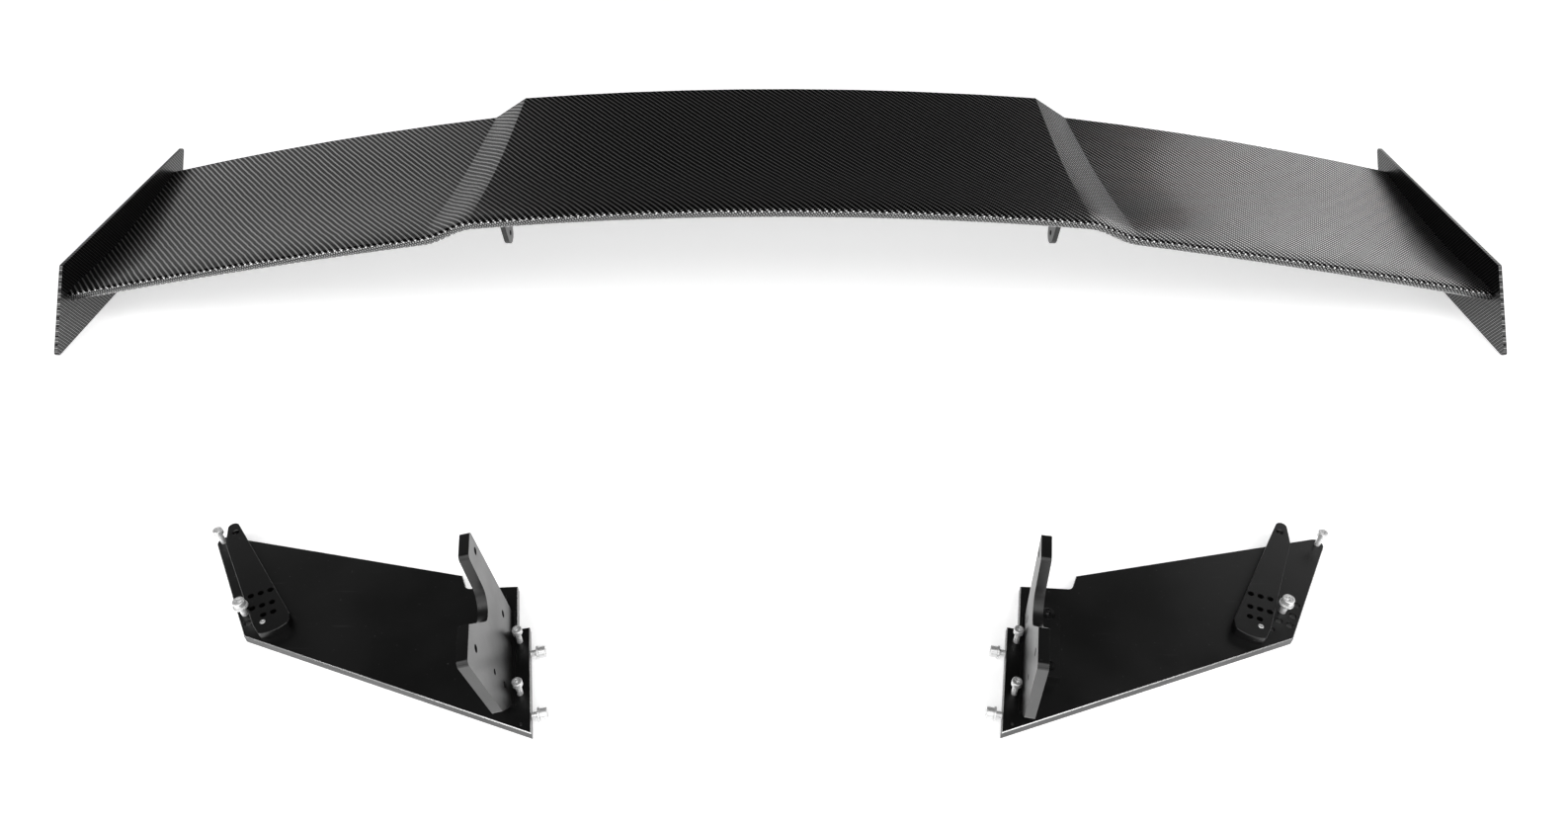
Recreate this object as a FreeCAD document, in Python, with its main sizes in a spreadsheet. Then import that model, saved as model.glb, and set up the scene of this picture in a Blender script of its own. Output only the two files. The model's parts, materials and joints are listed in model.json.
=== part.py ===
"""Racing rear wing kit: a carbon blade on two end plates, and its pair of stands laid beside it.

Frame: +X along the span, +Y from the leading edge back, +Z up; the origin is the middle of the
floor under the whole kit.  Millimetres and degrees.  The wing stands on its end plates.  Each stand
lies on its plate, and its pieces are drawn in the stand's own frame: across from the base edge
(local X, mirrored for the left stand), along the base edge (local Y) and up (local Z).
"""
import FreeCAD
import Part
import Sketcher
import math
import os
from FreeCAD import Matrix, Placement, Rotation, Vector

SIZES = {
    # wing as a whole
    "span": 1700,
    "blade_front": 122,
    "blade_chord": 286,
    # blade section
    "blade_thick": 20,
    "thickest_at": 0.3,
    "nose_radius": 5,
    "tail_thick": 3,
    "blade_camber": 13,
    "skin_thick": 2,
    "bond_line": 0.2,
    "seam_back": 5,
    "nose_fill": 15,
    "tail_fill": 17,
    # gull shape: heights of nose and tail at the middle, the two creases and the tip
    "nose_mid": 154.5,
    "nose_inner": 138.8,
    "nose_outer": 118.2,
    "nose_tip": 42.5,
    "tail_mid": 176.9,
    "tail_inner": 164.4,
    "tail_outer": 137.3,
    "tail_tip": 58,
    "nose_bow": 3,
    "tail_bow": 6,
    "nose_crease_inner": 350,
    "nose_crease_outer": 408,
    "tail_crease_inner": 338,
    "tail_crease_outer": 382,
    # structure inside the blade
    "front_spar_back": 42,
    "rear_spar_back": 178,
    "spar_thick": 3,
    "end_rib_thick": 16,
    "block_front": 50,
    "block_back": 120,
    "block_inner": 298,
    "block_outer": 342,
    # end plates and their screws
    "end_plate_thick": 4,
    "end_plate_front": 60.4,
    "end_plate_long": 311,
    "end_plate_tall": 77,
    "end_plate_sweep": 79,
    "end_plate_corner": 3,
    "root_screw_first": 42,
    "root_screw_pitch": 58,
    "root_screw_long": 18,
    "countersunk_radius": 2.5,
    "countersunk_head": 2.4,
    "countersunk_socket": 3,
    "insert_radius": 3.5,
    "insert_long": 12,
    "insert_bore_deep": 22,
    # mounting tabs under the blade
    "tab_out": 337,
    "tab_web": 6,
    "tab_flange_wide": 37,
    "tab_flange_under": 122,
    "tab_front": 183.5,
    "tab_long": 44,
    "tab_bottom": 69,
    "tab_hole_up": 13,
    "tab_screw_in": 20,
    "tab_screw_edge": 8,
    "tab_screw_long": 20,
    "tab_screw_socket": 3.6,
    # stands: where each lies, and its plate
    "right_stand_out": 173.2,
    "left_stand_out": 195.3,
    "right_stand_front": -429,
    "left_stand_front": -429.5,
    "right_stand_turn": 12.2,
    "left_stand_turn": 11.6,
    "stand_lift": 2,
    "plate_thick": 8,
    "base_edge": 103.5,
    "tongue_step": 10,
    "tongue_end": 151,
    "slot_bottom_along": 157.5,
    "slot_bottom_across": 55,
    "slot_end_along": 173.5,
    "slot_end_across": 59,
    "tip_along": 272,
    "tip_across": 291,
    "elbow_along": 143,
    "elbow_across": 239.5,
    "tip_corner": 7,
    "slot_corner": 5,
    "edge_break": 0.6,
    # bolts and washers
    "bolt_radius": 3,
    "bolt_long": 22,
    "base_bolt_long": 18,
    "base_bolt_proud": 6.5,
    "base_bolt_spare": 2,
    "bolt_head_radius": 5,
    "bolt_head_tall": 6,
    "socket_wide": 5,
    "socket_deep": 3,
    "small_bolt_radius": 2.5,
    "small_bolt_long": 22,
    "small_head_radius": 4.25,
    "small_head_tall": 5,
    "small_socket_wide": 4,
    "small_socket_deep": 2.5,
    "hole_clearance": 0.3,
    "thread_clearance": 0.05,
    "washer_radius": 6,
    "washer_thick": 1.6,
    "washer_clearance": 0.2,
    # places of the bolts on the plate
    "margin_across": 8.3,
    "margin_first": 38.7,
    "margin_pitch": 51.5,
    "base_bolt_first": 18.5,
    "base_bolt_pitch": 60,
    "peg_hole_along": 10,
    "peg_hole_across": 8,
    "peg_hole_radius": 1.5,
    "corner_bolt_along": 259.5,
    "corner_bolt_across": 279.5,
    # grid of locking holes in the plate and in the arm
    "plate_grid_column": 8.9,
    "arm_grid_column": 8,
    "grid_row_near": 11.8,
    "grid_row_far": 14,
    "grid_hole_radius": 3.1,
    "plate_grid_start": 12.4,
    "plate_grid_in": 5.9,
    "arm_grid_radius": 2.6,
    "arm_grid_start": 7.3,
    "arm_grid_inset": 1.3,
    "arm_row_near": 11.3,
    "arm_row_far": 14.9,
    # adjuster arms
    "arm_thick": 8,
    "arm_hole_along": 120.5,
    "arm_hole_across": 13.5,
    "arm_tip_along": 128.5,
    "arm_tip_across": 15,
    "arm_tip_radius": 5,
    "arm_shoulder_along": 109,
    "arm_shoulder_across": 23,
    "arm_shoulder_round": 6,
    "arm_heel_back": 14,
    "arm_heel_out": 7.9,
    "arm_heel_in": 21.5,
    "arm_heel_inner_back": 9.5,
    "arm_heel_inner_across": 20,
    "arm_heel_outer_back": 12,
    "arm_heel_outer_across": 4.5,
    "arm_heel_corner": 4,
    "arm_edge_break": 0.4,
    "pivot_radius": 2.5,
    "pivot_clearance": 0.05,
    "right_pivot_along": 144,
    "right_pivot_across": 211,
    "left_pivot_along": 149.2,
    "left_pivot_across": 223,
    "right_arm_turn": 9.5,
    "left_arm_turn": 14.8,
    "tip_bush_radius": 3.8,
    "tip_bush_bore": 2.6,
    "pin_socket_wide": 2.5,
    "pin_socket_deep": 2.5,
    # foot brackets
    "right_foot_nearer": 6.5,
    "left_foot_nearer": 0,
    "foot_in": 14.5,
    "foot_thick": 8,
    "foot_out": 43,
    "foot_flange_thick": 8,
    "foot_flange_near": 61.5,
    "foot_flange_far": 136.5,
    "foot_heel_tall": 2.5,
    "foot_heel_near": 27,
    "foot_heel_in": 12,
    "foot_sink": 1.2,
    "right_foot_lean": -2.9,
    "left_foot_lean": 5.4,
    "foot_near_low_along": 6.5,
    "foot_near_low_up": 27,
    "foot_near_low_round": 8,
    "foot_near_top_back": 8,
    "foot_near_tall": 113.5,
    "foot_near_wide": 34,
    "foot_notch_along": 84,
    "foot_notch_up": 41,
    "foot_notch_radius": 15.5,
    "foot_horn_tall": 121.5,
    "foot_horn_wide": 27,
    "foot_far_along": 122,
    "foot_corner": 4,
    "foot_screw_across": 33.5,
    "foot_screw_first": 72,
    "foot_screw_pitch": 53.5,
    "foot_screw_long": 14,
    "foot_screw_head": 2.6,
    "foot_screw_socket": 4,
    # bores in each foot bracket: along the base edge, up from the plate, radius
    "bore_horn_along": 103,
    "bore_horn_up": 106,
    "bore_horn_radius": 3.3,
    "bore_far_low_along": 99,
    "bore_far_low_up": 29,
    "bore_far_low_radius": 3.3,
    "bore_near_top_along": 17,
    "bore_near_top_up": 96,
    "bore_near_top_radius": 3.3,
    "bore_near_mid_along": 28,
    "bore_near_mid_up": 49,
    "bore_near_mid_radius": 2.6,
    "bore_near_low_along": 34,
    "bore_near_low_up": 22,
    "bore_near_low_radius": 2.6,
}

FOOT_BORES = ("horn", "far_low", "near_top", "near_mid", "near_low")
SIDES = {"left": -1, "right": 1}

doc = FreeCAD.newDocument("rear_wing_kit")
sheet = doc.addObject("Spreadsheet::Sheet", "Sizes")
nodes = []


def fill_sheet():
    """Writes every size into the sheet, one alias a row."""
    for row, (alias, number) in enumerate(SIZES.items(), start=1):
        sheet.set("A%d" % row, alias)
        sheet.set("B%d" % row, str(number))
        sheet.setAlias("B%d" % row, alias)
    doc.recompute()


def size(alias):
    return float(sheet.get(alias))


def cell(alias):
    """The alias as it is written in an expression of another object."""
    return "Sizes." + alias


def value(expression):
    return float(sheet.evalExpression(expression))


def mirrored(side, expression):
    return expression if side > 0 else "-(%s)" % expression


# ---------------------------------------------------------------- sketches and bodies

def new_body(label):
    body = doc.addObject("PartDesign::Body", label)
    body.Label = label
    return body


def new_sketch(body, plane, offset=None):
    """A sketch on one of the body's own origin planes, moved off it by expressions."""
    sketch = body.newObject("Sketcher::SketchObject", body.Name + "_sketch")
    support = [item for item in body.Origin.OriginFeatures if item.Role == plane][0]
    sketch.AttachmentSupport = [(support, "")]
    sketch.MapMode = "FlatFace"
    for path, expression in (offset or {}).items():
        sketch.setExpression("AttachmentOffset." + path, expression)
    return sketch


def pin_point(sketch, geometry, corner, across, up):
    """Holds a point of the sketch at two expressions from the sketch's origin."""
    for kind, expression in (("DistanceX", across), ("DistanceY", up)):
        index = sketch.addConstraint(
            Sketcher.Constraint(kind, -1, 1, geometry, corner, value(expression)))
        sketch.setExpression("Constraints[%d]" % index, expression)


def draw_polygon(sketch, corners):
    points = [Vector(value(across), value(up), 0) for across, up in corners]
    first = sketch.GeometryCount
    count = len(points)
    for number, point in enumerate(points):
        sketch.addGeometry(Part.LineSegment(point, points[(number + 1) % count]), False)
    for number, (across, up) in enumerate(corners):
        following = first + (number + 1) % count
        sketch.addConstraint(
            Sketcher.Constraint("Coincident", first + number, 2, following, 1))
        pin_point(sketch, first + number, 1, across, up)


def draw_circle(sketch, across, up, radius):
    centre = Vector(value(across), value(up), 0)
    circle = Part.Circle(centre, Vector(0, 0, 1), value(radius))
    geometry = sketch.addGeometry(circle, False)
    pin_point(sketch, geometry, 3, across, up)
    index = sketch.addConstraint(Sketcher.Constraint("Radius", geometry, value(radius)))
    sketch.setExpression("Constraints[%d]" % index, radius)


def pad(body, sketch, length, backwards=False):
    feature = body.newObject("PartDesign::Pad", body.Name + "_pad")
    feature.Profile = sketch
    feature.Reversed = backwards
    feature.setExpression("Length", length)
    doc.recompute()
    return feature


def pocket(body, sketch, length, backwards=False):
    """Cuts a pocket and makes sure that it took material away."""
    before = body.Shape.Volume
    feature = body.newObject("PartDesign::Pocket", body.Name + "_pocket")
    feature.Profile = sketch
    feature.Reversed = backwards
    feature.setExpression("Length", length)
    doc.recompute()
    if body.Shape.Volume >= before:
        raise RuntimeError(body.Label + ": the pocket cuts nothing")
    return feature


def round_edges(body, spots, radius, direction=Vector(0, 0, 1)):
    """Fillets the body's straight edges that run along direction through the given points."""
    base = body.Tip
    names = []
    for number, edge in enumerate(base.Shape.Edges, start=1):
        if edge.Curve.TypeId != "Part::GeomLine":
            continue
        if abs(edge.Curve.Direction.dot(direction)) < 0.999:
            continue
        for spot in spots:
            if (edge.CenterOfMass - spot).cross(direction).Length < 0.01:
                names.append("Edge%d" % number)
    if len(names) < len(spots):
        raise RuntimeError(body.Label + ": a corner to round is missing")
    feature = body.newObject("PartDesign::Fillet", body.Name + "_fillet")
    feature.Base = (base, names)
    feature.setExpression("Radius", radius)
    doc.recompute()


def break_outline(body, break_size, height):
    """Chamfers the outline of the body's flat top, and leaves its holes sharp."""
    base = body.Tip
    tops = [face for face in base.Shape.Faces if face.Surface.TypeId == "Part::GeomPlane"
            and abs(face.normalAt(0, 0).z - 1) < 0.001
            and abs(face.CenterOfMass.z - height) < 0.01]
    outline = tops[0].OuterWire.Edges
    names = ["Edge%d" % number for number, edge in enumerate(base.Shape.Edges, start=1)
             if any(edge.isSame(side) for side in outline)]
    feature = body.newObject("PartDesign::Chamfer", body.Name + "_chamfer")
    feature.Base = (base, names)
    feature.setExpression("Size", break_size)
    doc.recompute()


def turned(label, profile, socket_top=None):
    """A turned piece: a profile of (radius, height) expressions about Z, with a hex socket."""
    body = new_body(label)
    sketch = new_sketch(body, "XZ_Plane")
    draw_polygon(sketch, profile)
    feature = body.newObject("PartDesign::Revolution", label + "_turning")
    feature.Profile = sketch
    feature.ReferenceAxis = (sketch, ["V_Axis"])
    feature.Angle = 360
    doc.recompute()
    if socket_top is not None:
        top, wide, deep = socket_top
        socket = new_sketch(body, "XY_Plane", {"Base.z": top})
        corners = []
        for step in range(6):
            turn = math.radians(60 * step + 30)
            reach = "%s / %.6f" % (wide, 2 * math.cos(math.radians(30)))
            corners.append(("%s * %.6f" % (reach, math.cos(turn)),
                            "%s * %.6f" % (reach, math.sin(turn))))
        draw_polygon(socket, corners)
        pocket(body, socket, deep)
    return body


def keep(label, thing):
    """Marks an object of the document as a node that is written out under its label."""
    thing.Label = label
    nodes.append(thing)
    return thing


def group(label, pieces):
    """One node that holds several separate solids."""
    compound = doc.addObject("Part::Compound", label)
    compound.Links = pieces
    return keep(label, compound)


def plain_feature(label, shape):
    feature = doc.addObject("Part::Feature", label)
    feature.Shape = shape
    return keep(label, feature)


# ---------------------------------------------------------------- blade section

def camber(share):
    """Sag of the blade's middle line under its chord, at a share of the chord."""
    return -4 * size("blade_camber") * share * (1 - share)


def thickness_terms():
    """Cubic that follows the nose's root term, so that the section is thickest where it should be."""
    root = math.sqrt(2 * size("nose_radius") * size("blade_chord"))
    peak = size("thickest_at")
    half = size("blade_thick") / 2
    rows = Matrix(peak, peak ** 2, peak ** 3, 0,
                  1, 2 * peak, 3 * peak ** 2, 0,
                  1, 1, 1, 0,
                  0, 0, 0, 1)
    target = Vector(half - root * math.sqrt(peak),
                    -0.5 * root / math.sqrt(peak),
                    size("tail_thick") / 2 - root)
    terms = rows.inverse().multVec(target)
    return root, terms


def half_thick(share):
    root, terms = thickness_terms()
    return root * math.sqrt(share) + terms.x * share + terms.y * share ** 2 + terms.z * share ** 3


def upper(share):
    return camber(share) + half_thick(share)


def lower(share):
    return camber(share) - half_thick(share)


def under_upper(extra=0.0):
    """Height of the upper skin's inner face, less an extra gap."""
    return lambda share: upper(share) - size("skin_thick") - extra


def over_lower(extra=0.0):
    return lambda share: lower(share) + size("skin_thick") + extra


def shifted(height, amount):
    return lambda share: height(share) + amount


def share_of(distance):
    """A distance back from the nose as a share of the chord."""
    return distance / size("blade_chord")


def spread(start, end, count=7):
    """Shares of the chord from start to end, closer together towards the nose."""
    first, last = math.sqrt(start), math.sqrt(end)
    return [(first + (last - first) * step / (count - 1)) ** 2 for step in range(count)]


# ---------------------------------------------------------------- blade stations

def mix(start, end, share):
    return start + (end - start) * share


def soft_step(start, end, start_slope, end_slope, share):
    """Cubic from start to end with a given slope at each end, so the nose's step is soft."""
    square, cube = share ** 2, share ** 3
    return (start * (2 * cube - 3 * square + 1) + end * (3 * square - 2 * cube)
            + start_slope * (cube - 2 * square + share) + end_slope * (cube - square))


def centre_station(share):
    """Station on the middle panel; share runs from -1 at the left crease to 1 at the right."""
    nose = (share * size("nose_crease_inner"), mix(size("nose_mid"), size("nose_inner"), share ** 2))
    tail = (share * size("tail_crease_inner"), mix(size("tail_mid"), size("tail_inner"), share ** 2))
    return nose, tail


def step_station(share):
    """Station on the sloping step between the inner and the outer crease."""
    inner, outer = size("nose_crease_inner"), size("nose_crease_outer")
    inner_slope = 2 * (size("nose_inner") - size("nose_mid")) / inner
    outer_slope = (size("nose_tip") - size("nose_outer") + 4 * size("nose_bow")) / (root_out() - outer)
    wide = outer - inner
    height = soft_step(size("nose_inner"), size("nose_outer"),
                       inner_slope * wide, outer_slope * wide, share)
    nose = (mix(inner, outer, share), height)
    tail = (mix(size("tail_crease_inner"), size("tail_crease_outer"), share),
            mix(size("tail_inner"), size("tail_outer"), share))
    return nose, tail


def outer_station(share):
    """Station on the outer panel, from the outer crease at 0 to the end plate at 1."""
    bow = 4 * share * (1 - share)
    nose = (mix(size("nose_crease_outer"), root_out(), share),
            mix(size("nose_outer"), size("nose_tip"), share) + size("nose_bow") * bow)
    tail = (mix(size("tail_crease_outer"), root_out(), share),
            mix(size("tail_outer"), size("tail_tip"), share) + size("tail_bow") * bow)
    return nose, tail


def root_out():
    """Distance from the middle of the wing to an end plate's inner face."""
    return size("span") / 2 - size("end_plate_thick")


def blade_point(station, side, share, height):
    nose, tail = station
    return Vector(side * mix(nose[0], tail[0], share),
                  size("blade_front") + size("blade_chord") * share,
                  mix(nose[1], tail[1], share) + height(share))


def section_wire(station, side, runs):
    """Closed wire at one station.  Each run is a height function and the shares that it passes."""
    edges = []
    ends = []
    for height, shares in runs:
        points = [blade_point(station, side, share, height) for share in shares]
        curve = Part.BSplineCurve()
        if shares[0] == 0:
            curve.interpolate(Points=points, InitialTangent=Vector(0, 0, 1),
                              FinalTangent=points[-1] - points[-2])
        elif shares[-1] == 0:
            curve.interpolate(Points=points, InitialTangent=points[1] - points[0],
                              FinalTangent=Vector(0, 0, 1))
        else:
            curve.interpolate(Points=points)
        edges.append(curve.toShape())
        ends.append((points[0], points[-1]))
    wire = []
    for number, edge in enumerate(edges):
        wire.append(edge)
        finish = ends[number][1]
        following = ends[(number + 1) % len(ends)][0]
        if (finish - following).Length > 1e-6:
            wire.append(Part.makeLine(finish, following))
    return Part.Wire(wire)


def panel(stations, side, runs):
    solid = Part.makeLoft([section_wire(station, side, runs) for station in stations], True)
    if solid.Volume < 0:
        solid.reverse()
    return solid


def steps(start, end, count):
    return [mix(start, end, number / (count - 1)) for number in range(count)]


def whole_blade(runs):
    """A section carried along the middle panel, both steps and both outer panels."""
    solids = [panel([centre_station(share) for share in steps(-1, 1, 7)], 1, runs)]
    for side in SIDES.values():
        solids.append(panel([step_station(share) for share in steps(0, 1, 5)], side, runs))
        solids.append(panel([outer_station(share) for share in steps(0, 1, 5)], side, runs))
    return solids[0].multiFuse(solids[1:])


def cavity_runs(front, back, gap):
    """Section of a piece that fills the blade from skin to skin between two shares."""
    return [(over_lower(gap), spread(front, back)),
            (under_upper(gap), spread(back, front))]


def touch_point(start, centre, radius, sense):
    """Where the line from start touches a circle; sense picks one of the two lines."""
    away = start - centre
    swing = sense * math.acos(radius / away.Length)
    turn = math.atan2(away.y, away.x) + swing
    return centre + Vector(math.cos(turn), math.sin(turn), 0) * radius


def cylinder(radius, start, end):
    return Part.makeCylinder(radius, (end - start).Length, start, end - start)


# ---------------------------------------------------------------- wing

def root_screw_shares():
    first, pitch = size("root_screw_first"), size("root_screw_pitch")
    return [share_of(first + pitch * number) for number in range(3)]


def root_point(side, share, out):
    station = outer_station(1.0)
    point = blade_point(station, side, share, camber)
    return Vector(side * out, point.y, point.z)


def tab_screw_places(side):
    """Foot of each tab screw's axis, on the flange's under side."""
    across = side * (size("tab_out") - size("tab_screw_in"))
    front = size("tab_front") + size("tab_screw_edge")
    back = size("tab_front") + size("tab_long") - size("tab_screw_edge")
    return [Vector(across, place, size("tab_flange_under")) for place in (front, back)]


def drill_for_tab_screws(shape):
    radius = size("bolt_radius") + size("thread_clearance")
    for side in SIDES.values():
        for place in tab_screw_places(side):
            top = place + Vector(0, 0, size("tab_screw_long") + 1)
            shape = shape.cut(cylinder(radius, place - Vector(0, 0, 1), top))
    return shape


def make_skins():
    seam = share_of(size("seam_back"))
    fill = share_of(size("nose_fill"))
    tail = 1 - share_of(size("tail_fill"))
    gap = size("bond_line")
    upper_runs = [
        (upper, spread(seam + share_of(gap), 1, 12)),
        (shifted(camber, gap / 2), spread(1, tail, 3)),
        (under_upper(), spread(tail, seam + share_of(gap), 10)),
    ]
    lower_runs = [
        (lower, spread(1, 0, 14)),
        (upper, spread(0, seam, 5)),
        (under_upper(gap), spread(seam, fill, 3)),
        (over_lower(), spread(fill, tail, 10)),
        (shifted(camber, -gap / 2), spread(tail, 1, 3)),
    ]
    plain_feature("blade_upper_skin", whole_blade(upper_runs))
    lower_skin = whole_blade(lower_runs)
    plain_feature("blade_lower_skin", drill_for_tab_screws(lower_skin))


def make_spars():
    """Webs from skin to skin, cut square just short of the end ribs."""
    gap = size("bond_line")
    reach = root_out() - size("end_rib_thick") - gap
    between_ribs = Part.makeBox(2 * reach, size("blade_chord"), size("nose_mid") + size("tail_mid"),
                                Vector(-reach, size("blade_front"), 0))
    for label, back in (("front_spar", "front_spar_back"), ("rear_spar", "rear_spar_back")):
        front = share_of(size(back))
        behind = share_of(size(back) + size("spar_thick"))
        runs = [(over_lower(gap), spread(front, behind, 3)),
                (under_upper(gap), spread(behind, front, 3))]
        plain_feature(label, whole_blade(runs).common(between_ribs))


def make_end_ribs():
    """Blocks that close the blade's ends, lofted a little too deep and cut square."""
    gap = size("bond_line")
    thick = size("end_rib_thick")
    inner_share = 1 - 2 * thick / (root_out() - size("nose_crease_outer"))
    front = share_of(size("nose_fill") + gap)
    back = 1 - share_of(size("tail_fill") + gap)
    for name, side in SIDES.items():
        stations = [outer_station(share) for share in steps(inner_share, 1, 3)]
        inner = min(side * root_out(), side * (root_out() - thick))
        square = Part.makeBox(thick, size("blade_chord"), size("nose_mid"),
                              Vector(inner, size("blade_front"), 0))
        rib = panel(stations, side, cavity_runs(front, back, gap)).common(square)
        for share in root_screw_shares():
            start = root_point(side, share, root_out() + 1)
            end = root_point(side, share, root_out() - size("insert_bore_deep"))
            rib = rib.cut(cylinder(size("insert_radius") + size("thread_clearance"), start, end))
        plain_feature("end_rib_" + name, rib)


def make_mount_blocks():
    gap = size("bond_line")
    front, back = share_of(size("block_front")), share_of(size("block_back"))
    shares = [size(edge) / size("nose_crease_inner") for edge in ("block_inner", "block_outer")]
    for name, side in SIDES.items():
        stations = [centre_station(share) for share in steps(shares[0], shares[1], 3)]
        block = panel(stations, side, cavity_runs(front, back, gap))
        plain_feature("mount_block_" + name, drill_for_tab_screws(block))


def make_mount_tabs():
    """Angle brackets whose flange is fitted to the blade's under side."""
    front, long = size("tab_front"), size("tab_long")
    # the room above the under side, from half-way to the nose to half-way to the tail
    before = share_of(front - size("blade_front")) / 2
    behind = (1 + share_of(front + long - size("blade_front"))) / 2
    seat_runs = [(shifted(lower, -size("bond_line")), spread(behind, before)),
                 (shifted(upper, size("blade_thick")), spread(before, behind))]
    seat = panel([centre_station(share) for share in steps(-1, 1, 7)], 1, seat_runs)
    under, bottom = size("tab_flange_under"), size("tab_bottom")
    web = size("tab_web")
    for name, side in SIDES.items():
        outer = size("tab_out")
        left = min(side * outer, side * (outer - size("tab_flange_wide")))
        flange = Part.makeBox(size("tab_flange_wide"), long, size("blade_thick"),
                              Vector(left, front, under))
        # the web seen from the side: a tongue that narrows to a round nose about the bore
        bore = Vector(front + long / 2, bottom + size("tab_hole_up"), 0)
        top = under + size("blade_thick") / 4
        corners = [Vector(front, top, 0), Vector(front + long, top, 0)]
        touches = [touch_point(corner, bore, size("tab_hole_up"), sense)
                   for corner, sense in zip(corners, (1, -1))]
        left_web = min(side * outer, side * (outer - web))

        def on_web(point):
            return Vector(left_web, point.x, point.y)

        outline = Part.Wire([
            Part.makeLine(on_web(corners[0]), on_web(touches[0])),
            Part.Arc(on_web(touches[0]), Vector(left_web, bore.x, bottom),
                     on_web(touches[1])).toShape(),
            Part.makeLine(on_web(touches[1]), on_web(corners[1])),
            Part.makeLine(on_web(corners[1]), on_web(corners[0]))])
        tongue = Part.Face(outline).extrude(Vector(web, 0, 0))
        tab = flange.fuse(tongue).cut(seat).removeSplitter()
        radius = size("bolt_radius") + size("hole_clearance")
        tab = tab.cut(cylinder(radius, on_web(bore) - Vector(1, 0, 0),
                               on_web(bore) + Vector(web + 1, 0, 0)))
        for place in tab_screw_places(side):
            head = size("foot_screw_head")
            cone = Part.makeCone(radius + head, radius, head, place, Vector(0, 0, 1))
            through = place + Vector(0, 0, size("tab_screw_long"))
            tab = tab.cut(cylinder(radius, place - Vector(0, 0, 1), through)).cut(cone)
        solids = sorted(tab.Solids, key=lambda solid: solid.Volume)
        plain_feature("mount_tab_" + name, solids[-1])


def countersunk_screw(label, radius, head, long, wide):
    """A flush screw whose head's flat is at height 0 and whose shank runs down."""
    profile = [("0", "-" + long), (radius, "-" + long), (radius, "-" + head),
               ("%s + %s" % (radius, head), "0"), ("0", "0")]
    return turned(label, profile, ("0", wide, head + " * 0.7"))


def make_tab_screws():
    for name, side in SIDES.items():
        screws = []
        for number, place in enumerate(tab_screw_places(side), start=1):
            screw = countersunk_screw("tab_screw_%s_%d" % (name, number), cell("bolt_radius"),
                                      cell("foot_screw_head"), cell("tab_screw_long"),
                                      cell("tab_screw_socket"))
            screw.Placement = Placement(place, Rotation(Vector(1, 0, 0), 180))
            screws.append(screw)
        group("tab_screws_" + name, screws)


def root_screw_up(share):
    """Height of the blade's middle line at the end plate, as an expression."""
    return "%s + (%s - %s) * %.6f - 4 * %s * %.6f" % (
        cell("nose_tip"), cell("tail_tip"), cell("nose_tip"), share,
        cell("blade_camber"), share * (1 - share))


def make_end_plates():
    front, long = cell("end_plate_front"), cell("end_plate_long")
    sweep, tall = cell("end_plate_sweep"), cell("end_plate_tall")
    corners = [(front, "0"), (front + " + " + long, "0"),
               (front + " + " + long + " + " + sweep, tall), (front + " + " + sweep, tall)]
    hole = cell("countersunk_radius") + " + " + cell("hole_clearance")
    for name, side in SIDES.items():
        body = new_body("end_plate_" + name)
        sketch = new_sketch(body, "YZ_Plane")
        draw_polygon(sketch, corners)
        for share in root_screw_shares():
            along = "%s + %s * %.6f" % (cell("blade_front"), cell("blade_chord"), share)
            draw_circle(sketch, along, root_screw_up(share), hole)
        pad(body, sketch, cell("end_plate_thick"), backwards=side < 0)
        spots = [Vector(0, value(along), value(up)) for along, up in corners]
        round_edges(body, spots, cell("end_plate_corner"), Vector(1, 0, 0))
        sink_screw_heads(body, side)
        body.Placement = Placement(Vector(side * root_out(), 0, 0), Rotation())
        keep("end_plate_" + name, body)


def sink_screw_heads(body, side):
    """Countersinks the end plate's holes on its outer face."""
    base = body.Tip
    face_x = side * size("end_plate_thick")
    names = []
    for number, edge in enumerate(base.Shape.Edges, start=1):
        if edge.Curve.TypeId != "Part::GeomCircle" or len(edge.Vertexes) > 1:
            continue
        if abs(edge.CenterOfMass.x - face_x) < 0.01:
            names.append("Edge%d" % number)
    feature = body.newObject("PartDesign::Chamfer", body.Name + "_sinks")
    feature.Base = (base, names)
    feature.setExpression("Size", cell("countersunk_head"))
    doc.recompute()


def make_root_fixings():
    for name, side in SIDES.items():
        screws, inserts = [], []
        outward = Rotation(Vector(0, 0, 1), Vector(side, 0, 0))
        for number, share in enumerate(root_screw_shares(), start=1):
            screw = countersunk_screw("root_screw_%s_%d" % (name, number),
                                      cell("countersunk_radius"), cell("countersunk_head"),
                                      cell("root_screw_long"), cell("countersunk_socket"))
            screw.Placement = Placement(root_point(side, share, size("span") / 2), outward)
            screws.append(screw)
            bore = cell("countersunk_radius") + " + " + cell("thread_clearance")
            insert = turned("rib_insert_%s_%d" % (name, number), [
                (bore, "-" + cell("insert_long")), (cell("insert_radius"), "-" + cell("insert_long")),
                (cell("insert_radius"), "0"), (bore, "0")])
            insert.Placement = Placement(root_point(side, share, root_out()), outward)
            inserts.append(insert)
        group("end_plate_screws_" + name, screws)
        group("rib_inserts_" + name, inserts)


# ---------------------------------------------------------------- stands

def stand_frame(side):
    """Placement of a stand's own frame on the floor."""
    name = "right" if side > 0 else "left"
    turn = Rotation(Vector(0, 0, 1), -side * size(name + "_stand_turn"))
    corner = Vector(side * size(name + "_stand_out"), size(name + "_stand_front"), size("stand_lift"))
    return Placement(corner, turn)


def in_stand(side, along, across, up, rotation=Rotation()):
    """Placement of something at a place in the stand's frame."""
    return stand_frame(side).multiply(Placement(Vector(side * across, along, up), rotation))


def edge_direction():
    """Unit vector (along, across) of the plate's outer edge, from the elbow to the tip."""
    edge = Vector(size("tip_along") - size("elbow_along"), size("tip_across") - size("elbow_across"), 0)
    return edge.normalize()


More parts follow.
